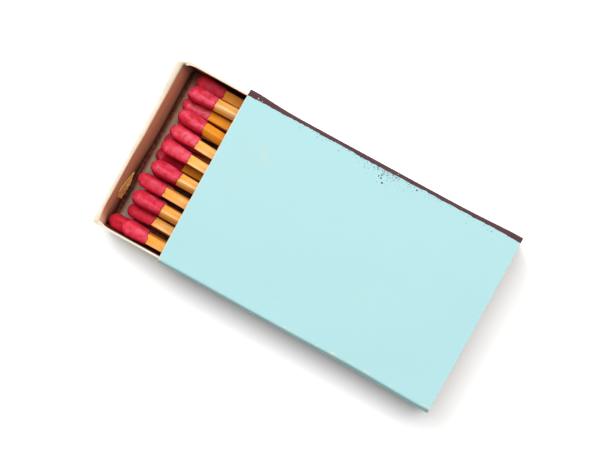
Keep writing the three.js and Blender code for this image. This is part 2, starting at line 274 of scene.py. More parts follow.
# Colours. A pair holds the two that clouds mix, or the tone of a splint.
PRINT = ((0.296, 0.506, 0.525, 1), (0.315, 0.52, 0.536, 1))
PRINT_FIBRE = (0.342, 0.548, 0.565, 1)
PRINT_STAIN = (0.5, 0.5, 0.34, 1)
# Painted shade on the near wall, just under its top fold
PRINT_SHADE = (0.13, 0.33, 0.3, 1)
CORE = (0.57, 0.53, 0.41, 1)  # of the card under print and coat
INNER_CARD = ((0.58, 0.52, 0.41, 1), (0.52, 0.46, 0.35, 1))
CREAM_CARD = ((0.665, 0.58, 0.46, 1), (0.6, 0.515, 0.4, 1))
TRAY_BOARD = ((0.42, 0.41, 0.35, 1), (0.34, 0.33, 0.28, 1))
TORN_CARD = ((0.95, 0.55, 0.19, 1), (0.88, 0.45, 0.12, 1))
FIBRE_SHADE = 0.72
FLECK = (0.32, 0.22, 0.14, 1)
# Painted shade with red bounce light from the heads, on the tray's end walls
WARM_BOUNCE_SHADE = (0.95, 0.46, 0.26, 1)
# Painted red bounce light on the tray's long walls
RED_BOUNCE = (0.85, 0.33, 0.2, 1)
# Painted shade
PAINTED_SHADE_DARK = (0.09, 0.008, 0.003, 1)
COAT = ((0.056, 0.022, 0.025, 1), (0.092, 0.039, 0.042, 1))
COAT_GRAIN = (0.175, 0.094, 0.097, 1)
COAT_PORE = (0.02, 0.01, 0.012, 1)
WOOD = ((0.84, 0.46, 0.12, 1), (0.74, 0.25, 0.012, 1))
WOOD_STREAK = (0.6, 0.25, 0.035, 1)
WOOD_LINE = (0.42, 0.16, 0.025, 1)
WOOD_PALE = (0.97, 0.74, 0.42, 1)
# Painted shade on the sides of the splints turned from the light
WOOD_UNDERSIDE_SHADE = (0.55, 0.15, 0.006, 1)
# Painted shade on the splints of the lower layers
WOOD_LAYER_SHADE = (0.24, 0.012, 0.003, 1)
HEAD_RED = ((0.5, 0.008, 0.024, 1), (0.68, 0.03, 0.064, 1))
# Pink mottling and pale specks of the compound, painted only on the sides open to the light, so partly a
# painted highlight
HEAD_PINK_AND_HIGHLIGHT = (0.82, 0.13, 0.23, 1)
HEAD_SPECK_AND_HIGHLIGHT = (0.88, 0.24, 0.34, 1)
HEAD_PORE = (0.2, 0.003, 0.012, 1)
# Painted shade on the sides of the heads turned from the light
HEAD_UNDERSIDE_SHADE = (0.3, 0.001, 0.006, 1)
# Painted shade in the deeper pits
HEAD_PIT_SHADE = (0.06, 0.001, 0.002, 1)
PALE_FLOOR = (0.9, 0.9, 0.9, 1)
WHITE = (1, 1, 1, 1)
SHEEN = "Specular IOR Level"


def box_mm(node):
    low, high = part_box(node)
    return low / MM, high / MM


def ease(low, high, value):
    """A smooth step from 0 at the low end to 1 at the high one."""
    part = min(max((value - low) / (high - low), 0.0), 1.0)
    return part * part * (3 - 2 * part)


def lerp(a, b, part):
    return a + (b - a) * part


def hump(distance, reach):
    return exp(-((distance / reach) ** 2))


def mound(amount, reach, distance):
    """An amount that falls off smoothly to both sides."""
    return amount * hump(distance, reach)


def mounds(table, x):
    """The sum of a table of places, reaches and amounts along a line."""
    return sum(mound(amount, reach, x - place) for place, reach, amount in table)


def fading(amount, reach, distance):
    """An amount that dies away from an edge."""
    return amount * exp(-distance / reach)


def ripple(point, size, seed=0.0):
    """Smooth noise about 0, with bumps of about the given size."""
    return noise.noise(Vector(point) / size + Vector((seed, 1.7 * seed, 2.9 * seed)))


def add_waves(point, waves, seed=0.0):
    return sum(height * ripple(point, size, seed + shift) for height, size, shift in waves)


def graded(length, spacing):
    """Places along a run, close together near both ends."""
    step, coarse, growth = spacing
    places = [0.0]
    while places[-1] + step < length / 2:
        places.append(places[-1] + step)
        step = min(step * growth, coarse)
    return places + [length - place for place in reversed(places)]


def shares(count):
    return [k / count for k in range(count + 1)]


def round_angles(sides):
    return [4 * QUARTER * side / sides for side in range(sides)]


# Meshes


class Skin:
    """Points, faces, finishes and point values of one piece."""

    def __init__(self):
        self.points = []
        self.faces = []
        self.finishes = []
        self.values = {}

    def add_face(self, corners, finish=0):
        self.faces.append(corners)
        self.finishes.append(finish)

    def add_sheet(self, grid, finishes=(0, 0, 0)):
        """A closed sheet from rows of pairs of an outside and an inside point, and the count of its pairs.
        The finishes are for its outside, its inside and its edges."""
        rows, columns = len(grid), len(grid[0])
        start = len(self.points)
        for layer in (0, 1):
            self.points.extend(pair[layer] for row in grid for pair in row)

        def at(layer, i, j):
            return start + (layer * rows + i) * columns + j

        for layer, i, j in itertools.product((0, 1), range(rows - 1), range(columns - 1)):
            quad = [at(layer, i, j), at(layer, i + 1, j), at(layer, i + 1, j + 1), at(layer, i, j + 1)]
            self.add_face(quad if layer else quad[::-1], finishes[layer])
        rim = [(i, 0) for i in range(rows)]
        rim += [(rows - 1, j) for j in range(1, columns)]
        rim += [(i, columns - 1) for i in range(rows - 2, -1, -1)]
        rim += [(0, j) for j in range(columns - 2, 0, -1)]
        for (i, j), (k, m) in zip(rim, rim[1:] + rim[:1]):
            self.add_face([at(0, i, j), at(0, k, m), at(1, k, m), at(1, i, j)], finishes[2])
        return rows * columns

    def add_tube(self, first, rings, last):
        """A closed solid from a first point through rings of points to a last point."""
        sides, start = len(rings[0]), len(self.points)
        self.points += [first, *itertools.chain(*rings), last]
        end = len(self.points) - 1
        for side in range(sides):
            after = (side + 1) % sides
            self.add_face([start, start + 1 + after, start + 1 + side])
            for low in range(start + 1, end - sides, sides):
                self.add_face([low + side, low + after, low + sides + after, low + sides + side])
            self.add_face([end, end - sides + side, end - sides + after])


def add_object(name, data):
    thing = bpy.data.objects.new(name, data)
    bpy.context.scene.collection.objects.link(thing)
    return thing


def make_piece(name, skin, materials, body, nodes=(), place=None, sharp=SHARP_ANGLE):
    mesh = bpy.data.meshes.new(name)
    mesh.from_pydata([Vector(point) * MM for point in skin.points], [], skin.faces)
    for material in materials:
        mesh.materials.append(material)
    mesh.polygons.foreach_set("material_index", skin.finishes)
    for value, numbers in skin.values.items():
        mesh.attributes.new(value, "FLOAT", "POINT").data.foreach_set("value", numbers)
    shell = bmesh.new()
    shell.from_mesh(mesh)
    bmesh.ops.recalc_face_normals(shell, faces=shell.faces)
    shell.to_mesh(mesh)
    shell.free()
    mesh.shade_smooth()
    mesh.set_sharp_from_angle(angle=radians(sharp))
    piece = add_object(name, mesh)
    if place:
        piece.matrix_world = place
    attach(piece, body)
    if nodes:
        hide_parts(*nodes)


class FoldedLine:
    """The outside of a folded card in section: straight runs and left-hand quarter folds, by length."""

    def __init__(self, start, heading, steps):
        at = Vector(start)
        angle = heading
        length = 0.0
        self.samples = [(length, at.copy(), self.outward(angle))]
        self.marks = [length]
        for kind, size in steps:
            if kind == "run":
                ahead = Vector((cos(angle), sin(angle)))
                for place in graded(size, LINE_SPACING)[1:]:
                    self.samples.append((length + place, at + ahead * place, self.outward(angle)))
                at = at + ahead * size
                length += size
            else:
                centre = at - self.outward(angle) * size
                for part in shares(FOLD_STEPS)[1:]:
                    turn = QUARTER * part
                    facing = self.outward(angle + turn)
                    at = centre + facing * size
                    self.samples.append((length + size * turn, at, facing))
                angle += QUARTER
                length += size * QUARTER
            self.marks.append(length)
        self.lengths = [sample[0] for sample in self.samples]

    @staticmethod
    def outward(angle):
        return Vector((sin(angle), -cos(angle)))

    def at(self, length):
        """Point and outward direction at a length along the line."""
        k = min(max(bisect.bisect(self.lengths, length), 1), len(self.samples) - 1)
        (low, a, facing_a), (high, b, facing_b) = self.samples[k - 1], self.samples[k]
        part = (length - low) / (high - low)
        return a.lerp(b, part), facing_a.lerp(facing_b, part).normalized()


def run(size):
    return ("run", size)


def fold(radius):
    return ("fold", radius)


# Materials


class Finish:
    """A material with one Principled shader, and short calls for the nodes that feed it."""

    def __init__(self, name, colour, sheen=0.0):
        self.material = bpy.data.materials.new(name)
        self.material.use_nodes = True
        self.tree = self.material.node_tree
        self.shader = self.tree.nodes["Principled BSDF"]
        self.colour = colour
        self.set("Base Color", colour)
        self.set(SHEEN, sheen)
        self.place = self.add("TexCoord", {}, "Object")

    def feed(self, socket, value):
        if isinstance(value, bpy.types.NodeSocket):
            self.tree.links.new(value, socket)
        else:
            socket.default_value = value

    def set(self, name, value):
        self.feed(self.shader.inputs[name], value)

    def add(self, kind, inputs, output=0, **settings):
        node = self.tree.nodes.new("ShaderNode" + kind)
        for name, value in settings.items():
            setattr(node, name, value)
        for name, value in inputs.items():
            self.feed(node.inputs[name], value)
        return node.outputs[output]

    def noise(self, size, detail=3, roughness=0.55, stretch=(1, 1, 1), shift=(0, 0, 0)):
        """Cloudy noise from 0 to 1 with features of a size in millimetres, stretched along the axes."""
        scale = [1 / axis for axis in stretch]
        place = self.add("Mapping", {"Vector": self.place, "Scale": scale, "Location": shift})
        inputs = {"Vector": place, "Scale": 1 / (size * MM), "Detail": detail, "Roughness": roughness}
        return self.add("TexNoise", inputs, "Fac")

    def cells(self, size):
        """Distance to scattered points, 0 at each point, for pores and specks."""
        return self.add("TexVoronoi", {"Vector": self.place, "Scale": 1 / (size * MM)}, "Distance")

    def value(self, name):
        return self.add("Attribute", {}, "Fac", attribute_name=name)

    def math(self, operation, *values):
        return self.add("Math", dict(enumerate(values)), operation=operation)

    def times(self, a, b):
        return self.math("MULTIPLY", a, b)

    def ramp(self, value, low, high, to_low=0, to_high=1):
        inputs = {"Value": value, "From Min": low, "From Max": high, "To Min": to_low, "To Max": to_high}
        return self.add("MapRange", inputs, interpolation_type="SMOOTHSTEP")

    def paint(self, part, colour):
        """Lays a colour over those before it, as far as a part from 0 to 1 tells."""
        self.colour = self.add("Mix", {0: part, 6: self.colour, 7: colour}, 2, data_type="RGBA")
        self.set("Base Color", self.colour)

    def bump(self, height, depth, strength=1):
        """Relief of a depth in millimetres."""
        inputs = {"Height": height, "Distance": depth * MM, "Strength": strength}
        self.set("Normal", self.add("Bump", inputs))


def printed_card():
    look = Finish("printed_card", PRINT[0], 0.3)
    clouds = look.noise(6, 4)
    fibres = look.noise(0.5, stretch=(3, 1, 1))
    look.paint(clouds, PRINT[1])
    look.paint(look.ramp(fibres, 0.35, 0.75, 0, 0.16), PRINT_FIBRE)
    smudge = look.times(look.value("stain"), look.ramp(look.noise(1.6), 0.4, 0.65))
    look.paint(look.times(smudge, 0.3), PRINT_STAIN)
    # painted shade just under the near top fold
    look.paint(look.times(look.value("edge"), 0.7), PRINT_SHADE)
    flakes = look.ramp(look.noise(0.4, 4, 0.65), 0.2, 0.8, -0.5, 0.5)
    bare = look.ramp(look.math("ADD", look.value("wear"), flakes), 0.46, 0.64, 0, 0.85)
    look.paint(bare, CORE)
    look.set("Roughness", look.ramp(clouds, 0.2, 0.8, 0.5, 0.62))
    look.bump(look.math("MULTIPLY_ADD", bare, -0.6, fibres), 0.02, 0.5)
    return look.material


def bare_card(name, light, dark, with_painted_light=False):
    """Uncoated card with fibres and flecks. Card with painted light has point values of a warm tint of
    painted shade and bounce light, of red bounce light and of painted shade.
    """
    look = Finish(name, light, 0.2)
    fibres = look.noise(0.35, 4, 0.6, stretch=(2.5, 2.5, 1))
    look.paint(look.ramp(look.noise(4), 0.3, 0.7), dark)
    look.paint(look.ramp(fibres, 0.55, 0.8, 0, 0.35), [FIBRE_SHADE * part for part in dark[:3]] + [1])
    look.paint(look.ramp(look.cells(1.3), 0.12, 0.05, 0, 0.45), FLECK)
    # Painted light: a warm tint of shade and bounce light, red bounce light, and painted shade
    if with_painted_light:
        red = look.value("red")
        grime = look.times(look.value("grime"), look.ramp(look.noise(0.8), 0.25, 0.75, 0.85, 1))
        look.paint(look.value("soil"), WARM_BOUNCE_SHADE)
        look.paint(red, RED_BOUNCE)
        look.paint(grime, PAINTED_SHADE_DARK)
        look.set(SHEEN, look.ramp(look.math("MAXIMUM", grime, red), 0, 0.8, 0.2, 0))
    look.set("Roughness", look.ramp(fibres, 0.3, 0.7, 0.78, 0.95))
    look.bump(fibres, 0.03, 0.7)
    return look.material


def striker_coat():
    look = Finish("striker_coat", COAT[0], 0.25)
    grit = look.noise(0.16, 3, 0.7)
    look.paint(look.noise(1.8), COAT[1])
    look.paint(look.ramp(grit, 0.52, 0.75, 0, 0.7), COAT_GRAIN)
    look.paint(look.ramp(look.cells(0.32), 0.22, 0.08, 0, 0.6), COAT_PORE)
    chipped = look.math("ADD", look.value("chip"), look.times(look.noise(0.3), 0.3))
    look.paint(look.ramp(chipped, 0.6, 0.72), CORE)
    look.set("Roughness", look.ramp(grit, 0.3, 0.7, 0.85, 0.98))
    look.bump(grit, 0.05)
    return look.material


def splint_wood():
    look = Finish("splint_wood", WOOD[0])
    under, dust, tone = look.value("under"), look.value("dust"), look.value("tone")
    streaks = look.noise(0.42, 4, 0.6, stretch=(26, 1, 1))
    lines = look.noise(0.16, 3, 0.65, stretch=(60, 1, 1))
    clouds = look.noise(2.2, 2, stretch=(4, 1, 1))
    look.paint(tone, WOOD[1])
    look.paint(look.ramp(streaks, 0.42, 0.7, 0, 0.62), WOOD_STREAK)
    look.paint(look.ramp(lines, 0.55, 0.74, 0, 0.6), WOOD_LINE)
    pale = look.times(look.ramp(clouds, 0.46, 0.7, 0, 0.55), look.ramp(tone, 0.3, 1, 1, 0))
    look.paint(pale, WOOD_PALE)
    # painted shade on the sides turned from the light
    look.paint(look.times(under, 0.75), WOOD_UNDERSIDE_SHADE)
    # painted shade on the splints of the lower layers
    look.paint(dust, WOOD_LAYER_SHADE)
    look.set(SHEEN, look.ramp(look.math("MAXIMUM", under, dust), 0, 0.6, 0.14, 0))
    look.set("Roughness", look.ramp(streaks, 0.3, 0.7, 0.7, 0.88))
    look.bump(look.math("ADD", streaks, look.times(lines, 0.6)), 0.035, 0.8)
    return look.material


def head_compound():
    look = Finish("head_compound", HEAD_RED[0])
    under = look.value("under")
    open_to_light = look.ramp(under, 0, 0.45, 1, 0.15)
    grain = look.noise(0.14, 3, 0.65)
    look.paint(look.noise(1.4, shift=(0.3, 0.1, 0.2)), HEAD_RED[1])
    # pink mottling and specks, kept to the sides open to the light as a painted highlight
    pink_and_highlight = look.ramp(look.noise(1.7, 3, 0.6), 0.44, 0.68, 0, 0.55)
    look.paint(look.times(pink_and_highlight, open_to_light), HEAD_PINK_AND_HIGHLIGHT)
    specks_and_highlight = look.ramp(grain, 0.54, 0.78, 0, 0.4)
    look.paint(look.times(specks_and_highlight, open_to_light), HEAD_SPECK_AND_HIGHLIGHT)
    look.paint(look.ramp(look.cells(0.6), 0.21, 0.08, 0, 0.5), HEAD_PORE)
    # painted shade on the sides turned from the light
    look.paint(look.times(under, 0.75), HEAD_UNDERSIDE_SHADE)
    # painted shade in the deeper pits
    look.paint(look.times(look.value("pit"), 0.7), HEAD_PIT_SHADE)
    look.set(SHEEN, look.ramp(under, 0, 0.6, 0.3, 0))
    look.set("Roughness", look.ramp(grain, 0.3, 0.7, 0.36, 0.5))
    look.bump(look.math("ADD", grain, look.noise(0.4, 2)), 0.05, 0.9)
    return look.material


def pale_floor():
    look = Finish("pale_floor", PALE_FLOOR, 0.1)
    look.set("Roughness", 0.9)
    return look.material


# Sleeve

SLEEVE_LOW, SLEEVE_HIGH = box_mm("sleeve")
SLEEVE_HALF = SLEEVE_HIGH.y
SLEEVE_TOP = SLEEVE_HIGH.z
LAP_RISE = SLEEVE_CARD + GLUE_LINE
# Base panel from its raw edge, far wall, top, near wall, and the lap inside the base
SLEEVE_STEPS = [
    run(2 * SLEEVE_HALF - SLEEVE_FOLD - LAP_EDGE_INSET),
    fold(SLEEVE_FOLD),
    run(SLEEVE_TOP - 2 * SLEEVE_FOLD),
    fold(SLEEVE_FOLD),
    run(2 * SLEEVE_HALF - SLEEVE_FOLD - NEAR_TOP_FOLD),
    fold(NEAR_TOP_FOLD),
    run(SLEEVE_TOP - SLEEVE_FOLD - NEAR_TOP_FOLD - LAP_RISE),
    fold(SLEEVE_FOLD),
    run(LAP_WIDTH + SLEEVE_CARD - SLEEVE_FOLD),
]
SLEEVE_LINE = FoldedLine((-SLEEVE_HALF + LAP_EDGE_INSET, 0.0), 0.0, SLEEVE_STEPS)
FAR_WALL_FOOT, FAR_TOP_EDGE, NEAR_WALL_HEAD = SLEEVE_LINE.marks[2:7:2]


def along_sleeve(spacing):
    return [SLEEVE_LOW.x + place for place in graded(SLEEVE_HIGH.x - SLEEVE_LOW.x, spacing)]


def end_distance(x):
    return min(x - SLEEVE_LOW.x, SLEEVE_HIGH.x - x)


def flare(x, y):
    """How far the top fold of one side has spread outwards."""
    return mounds(FAR_FLARES if y > 0 else NEAR_FLARES, x)


def settle_sleeve(point):
    """Moves a point of the square sleeve to where use has left it."""
    x, y, z = point
    to_end = end_distance(x)
    rise = max(0.0, z / SLEEVE_TOP)
    top_only = rise**4
    outward = flare(x, y) * rise
    if y < 0:
        lean = lerp(*NEAR_LEAN, ease(0.0, LEAN_CHANGE, x))
        outward -= lean * ease(SLEEVE_TOP - LEAN_HEIGHT, SLEEVE_TOP, z)
    outward *= ease(FLARE_START * SLEEVE_HALF, SLEEVE_HALF, abs(y))
    free = ease(0.0, TOP_MARGIN, SLEEVE_HALF - abs(y))
    z += TOP_ROLL * top_only * ripple((x, y, 0), TOP_WAVE, TOP_SEED) * free
    y += outward * copysign(1, y)
    x += fading(*REAR_CREEP, SLEEVE_HIGH.x - x) * top_only
    x += fading(*CUT_ROUGHNESS, to_end) * ripple((y, z, copysign(9.0, x)), CUT_WAVE)
    corner = Vector((to_end, SLEEVE_HALF - abs(y), SLEEVE_TOP - z)).length
    crush = mound(*CORNER_CRUSH, corner)
    return Vector((x - copysign(crush, x), y - copysign(crush, y), z - 0.5 * crush))


def sleeve_wear(point):
    """How far the print is worn off, from 0 to 1."""
    x, y, z = point
    wear = fading(*MOUTH_CHIP, x - SLEEVE_LOW.x) + fading(*REAR_CHIP, SLEEVE_HIGH.x - x)
    to_side, to_top = SLEEVE_HALF - abs(y), SLEEVE_TOP - z
    to_fold = hypot(to_side, to_top)
    wear += mound(*FOLD_WEAR, to_fold) + mound(*CORNER_WEAR, hypot(to_fold, end_distance(x)))
    if y < 0 and to_top < SLEEVE_FOLD:
        wear += mounds(SCUFFS, x) * hump(to_side - SCUFF_LINE, SCUFF_WIDTH)
    return wear


def sleeve_fold_shade(point):
    """How far painted shade darkens the print just under the near top fold, from 0 to 1."""
    _, y, z = point
    if y >= SLEEVE_CARD - SLEEVE_HALF:
        return 0.0
    depth = SLEEVE_TOP - z
    return ease(*SHADE_START, depth) * ease(*SHADE_END, depth)


def sleeve_stain(point):
    x, y, z = point
    if SLEEVE_TOP - z > SLEEVE_FOLD:
        return 0.0
    return sum(mound(strength, reach, hypot(x - px, y - py)) for (px, py), reach, strength in STAINS)


def build_sleeve(print_finish, card_finish):
    skin = Skin()
    stations = along_sleeve(SLEEVE_SPACING)
    grid, square = [], []
    for _, (y, z), (out_y, out_z) in SLEEVE_LINE.samples:
        row = []
        for x in stations:
            card = SLEEVE_CARD * (1 - fading(*CUT_PINCH, end_distance(x)))
            point = Vector((x, y, z))
            square.append(point)
            row.append((settle_sleeve(point), settle_sleeve(point - card * Vector((0, out_y, out_z)))))
        grid.append(row)
    hidden = [0.0] * skin.add_sheet(grid, finishes=(0, 1, 1))
    # the edge value is painted shade under the near top fold
    for value, measure in (("wear", sleeve_wear), ("stain", sleeve_stain), ("edge", sleeve_fold_shade)):
        skin.values[value] = [measure(point) for point in square] + hidden
    make_piece("sleeve_card", skin, [print_finish, card_finish], "sleeve", ["sleeve"])


# Strikers


def on_sleeve(length, x, lift):
    """A point lifted off the outside of the sleeve."""
    (y, z), (out_y, out_z) = SLEEVE_LINE.at(length)
    return settle_sleeve(Vector((x, y, z)) + lift * Vector((0, out_y, out_z)))


def far_edge(x):
    """Length round the sleeve where the far coat ends on the top, straight where the fold spreads."""
    return FAR_TOP_EDGE + FAR_STRIKER_LAP + mounds(LAP_SWELL, x) + flare(x, 1)


def add_coat(skin, start_at, end_at, seed):
    """A coat between two lengths round the sleeve, given for each x, with uneven edges and gritty."""
    strips, grid = [], []
    for x in along_sleeve(COAT_SPACING):
        uneven = [add_waves((x, 0, 0), RAGGED_EDGE, seed + shift) for shift in EDGE_SHIFTS]
        strips.append((x, start_at(x) + uneven[0], end_at(x) + uneven[1]))
    for part in shares(COAT_ROWS):
        row = []
        for x, start, end in strips:
            length = lerp(start, end, part)
            to_edge = min(part, 1 - part) * (end - start)
            full = STRIKER_COAT + add_waves((x, length, 0), COAT_GRIT, seed)
            lift = lerp(COAT_EDGE, full, ease(0.0, COAT_BEVEL, to_edge))
            row.append((on_sleeve(length, x, lift), on_sleeve(length, x, -STRIKER_SUNK)))
        grid.append(row)
    skin.add_sheet(grid)


def add_drop(skin, past, x, radius):
    """A small uneven drop of coat on the print, past the far coat's edge."""
    length = far_edge(x) + past
    rings = []
    for share, lift in DROP_RINGS:
        ring = []
        for angle in round_angles(DROP_SIDES):
            uneven = 1 + DROP_UNEVEN * ripple((cos(angle), sin(angle), x), DROP_WAVE)
            reach = share * radius * uneven
            ring.append(on_sleeve(length + reach * sin(angle), x + reach * cos(angle), lift))
        rings.append(ring)
    skin.add_tube(on_sleeve(length, x, -STRIKER_SUNK), rings, on_sleeve(length, x, DROP_TOP))


def add_small_drops(skin, draws, draw_place, count, start, thinning, radii):
    for _ in range(count):
        x = draw_place()
        add_drop(skin, start + draws.expovariate(thinning), x, draws.uniform(*radii))


def coat_chip(point):
    """How far the far coat is chipped off on the top, from 0 to 1."""
    x, y, z = point
    if z <= SLEEVE_TOP - SLEEVE_FOLD:
        return 0.0
    return max(hump(hypot(x - px, y - py), reach) for px, py, reach in CHIPS)


def build_strikers(coat_finish):
    far = Skin()
    far_start = FAR_WALL_FOOT + FAR_STRIKER_FOOT - SLEEVE_FOLD
    add_coat(far, lambda x: far_start, far_edge, FAR_SEED)
    for x, past, radius in DROPS:
        add_drop(far, past, x, radius)
    draws = random.Random(DROP_SEED)
    add_small_drops(far, draws, lambda: draws.triangular(*FINE_SPREAD), *FINE_DROPS)
    add_small_drops(far, draws, lambda: draws.gauss(*SPATTER), *SPATTER_DROPS)
    far.values["chip"] = [coat_chip(point) for point in far.points]
    make_piece("far_striker_coat", far, [coat_finish], "sleeve", ["far_striker"])

    near = Skin()
    wall_head = NEAR_WALL_HEAD + SLEEVE_TOP - NEAR_TOP_FOLD
    near_start, near_foot = wall_head - NEAR_STRIKER_TOP, wall_head - NEAR_STRIKER_FOOT
    add_coat(near, lambda x: near_start, lambda x: near_foot, NEAR_SEED)
    make_piece("near_striker_coat", near, [coat_finish], "sleeve", ["near_striker"])


# Tray, built about the middle of the underside of its floor

TRAY_LOW, TRAY_HIGH = box_mm("tray")
TRAY_HALF_X, TRAY_HALF_Y = (TRAY_HIGH.x - TRAY_LOW.x) / 2, (TRAY_HIGH.y - TRAY_LOW.y) / 2
TRAY_HEIGHT = TRAY_HIGH.z - TRAY_LOW.z
TRAY_ORIGIN = Vector(((TRAY_LOW.x + TRAY_HIGH.x) / 2, (TRAY_LOW.y + TRAY_HIGH.y) / 2, TRAY_LOW.z))
END_WALL = 3 * TRAY_CARD + 2 * PANEL_GAP
CORNER_START = TRAY_HALF_X - 1.5 * TRAY_CARD - PANEL_GAP - TAB_FOLD


def settle_tray(point):
    """Blunts the corners, lets the long walls lean in between the ends, and adds the tray's place."""
    x, y, z = point
    reach_x, reach_y, roundness = TRAY_CORNERS[copysign(1, x), copysign(1, y)]
    past_x = (abs(x) - TRAY_HALF_X) / reach_x + 1
    past_y = (abs(y) - TRAY_HALF_Y) / reach_y + 1
    if min(past_x, past_y) > 0:
        share = max(past_x, past_y) / (past_x**roundness + past_y**roundness) ** (1 / roundness)
        x = copysign(TRAY_HALF_X - reach_x * (1 - share * past_x), x)
        y = copysign(TRAY_HALF_Y - reach_y * (1 - share * past_y), y)
    free = 1 - (x / TRAY_HALF_X) ** 2
    lean = free * (z / TRAY_HEIGHT) * (WALL_SAG + SAG_CHANGE * ripple((x, y, 0), SAG_WAVE))
    y -= copysign(lean * ease(*SAG_ZONE, abs(y) / TRAY_HALF_Y), y)
    return Vector((x, y, z)) + TRAY_ORIGIN


def tray_pair(point, facing, sign_x, sign_y):
    """Both faces of the card, from a point of its outside in one quarter of the tray."""
    faces = (point, point - TRAY_CARD * facing)
    return [settle_tray((sign_x * x, sign_y * y, z)) for x, y, z in faces]


def rim_height(x, y):
    return TRAY_HEIGHT - RIM_ROUGHNESS * (1 + ripple((x, y, 0), RIM_WAVE))


def add_trough(skin):
    """Floor and long walls, as far as the corner folds."""
    wall = run(TRAY_HEIGHT - TRAY_FOLD)
    steps = [wall, fold(TRAY_FOLD), run(2 * TRAY_HALF_Y - 2 * TRAY_FOLD), fold(TRAY_FOLD), wall]
    line = FoldedLine((-TRAY_HALF_Y, TRAY_HEIGHT), -QUARTER, steps)
    stations = [place - CORNER_START for place in graded(2 * CORNER_START, TROUGH_SPACING)]
    grid = []
    for _, (y, z), (out_y, out_z) in line.samples:
        depth = TRAY_HEIGHT - z
        burr = RIM_BURR * ease(*BURR_DEPTHS, depth)
        row = []
        for x in stations:
            point = Vector((x, y, min(z, rim_height(x, y))))
            lip = mound(*CORNER_LIP, x + CORNER_START) * ease(LIP_DEPTH, 0.0, depth)
            card = (TRAY_CARD + lip + burr) * Vector((0, out_y, out_z))
            row.append((settle_tray(point), settle_tray(point - card)))
        grid.append(row)
    count = skin.add_sheet(grid, finishes=(0, 1, 0))
    return [False] * count + [True] * count


def add_end_wall(skin, turn):
    """The end panel folds up from the floor, rolls over at the rim and comes down again inside."""
    steps = [
        run(TRAY_HALF_X - TRAY_FOLD - CORNER_START),
        fold(TRAY_FOLD),
        run(TRAY_HEIGHT - ROLL_EDGE - TRAY_FOLD),
        fold(ROLL_EDGE),
        run(END_WALL - 2 * ROLL_EDGE),
        fold(ROLL_EDGE),
        run(TRAY_HEIGHT - ROLL_EDGE - TRAY_CARD - PANEL_GAP),
    ]
    line = FoldedLine((CORNER_START, 0.0), 0.0, steps)
    roll_start, roll_end = line.marks[3], line.marks[6]
    narrowed = lerp(roll_start, roll_end, ROLL_NARROWED)
    wide, narrow = TRAY_HALF_Y - END_PANEL_INSET, TRAY_HALF_Y - ROLL_INSET
    places = [place / wide - 1 for place in graded(2 * wide, END_SPACING)]
    grid = []
    for length, (x, z), (out_x, out_z) in line.samples:
        half = lerp(wide, narrow, ease(roll_start, narrowed, length))
        rolled = ease(roll_start, roll_end, length)
        spread = (1 - rolled) * ease(0.0, SPREAD_HEIGHT, z)
        past_roll = length - roll_end
        bulge = ease(roll_start - roll_end, BULGE_FULL, past_roll) * ease(*BULGE_END, past_roll)
        facing = Vector((out_x, 0, out_z))
        row = []
        for place in places:
            notch = CORNER_NOTCH[turn, turn * copysign(1, place)]
            y = (half - mound(notch, NOTCH_REACH, past_roll)) * place
            swell = END_SWELL * (ripple((length, y, turn), SWELL_WAVE) - SWELL_BACK)
            swell *= ease(0.0, SWELL_START, length - roll_start)
            if turn < 0:
                swell += mound(*ROLL_SPREAD, half + y) * spread + mound(*CORNER_BULGE, half - y) * bulge
                swell -= ROLL_LEAN * ease(*LEAN_ACROSS, y) * rolled
            row.append(tray_pair(Vector((x, y, z)) + swell * facing, facing, turn, turn))
        grid.append(row)
    skin.add_sheet(grid)
    rolled_in = [length > roll_start for length in line.lengths for _ in places]
    return rolled_in + [True] * len(rolled_in)


def add_tab(skin, end, side):
    """The end of a long wall, folded in and tucked between the two layers of the end wall."""
    radius = TAB_FOLD + TRAY_CARD / 2
    line = FoldedLine((CORNER_START, -TRAY_HALF_Y), 0.0, [fold(radius), run(TAB_LENGTH)])
    fold_end = line.marks[1]
    foot = TRAY_CARD + PANEL_GAP
    wall_rim = rim_height(end * CORNER_START, side * TRAY_HALF_Y)
    tucked = TRAY_HEIGHT - TRAY_CARD - 2 * PANEL_GAP
    grid = []
    for length, (x, y), (out_x, out_y) in line.samples:
        facing = Vector((out_x, out_y, 0))
        heights = graded(lerp(wall_rim, tucked, ease(TAB_DIP, fold_end, length)) - foot, TAB_SPACING)
        grid.append([tray_pair(Vector((x, y, foot + height)), facing, end, -side) for height in heights])
    count = skin.add_sheet(grid)
    return [False] * count + [True] * count


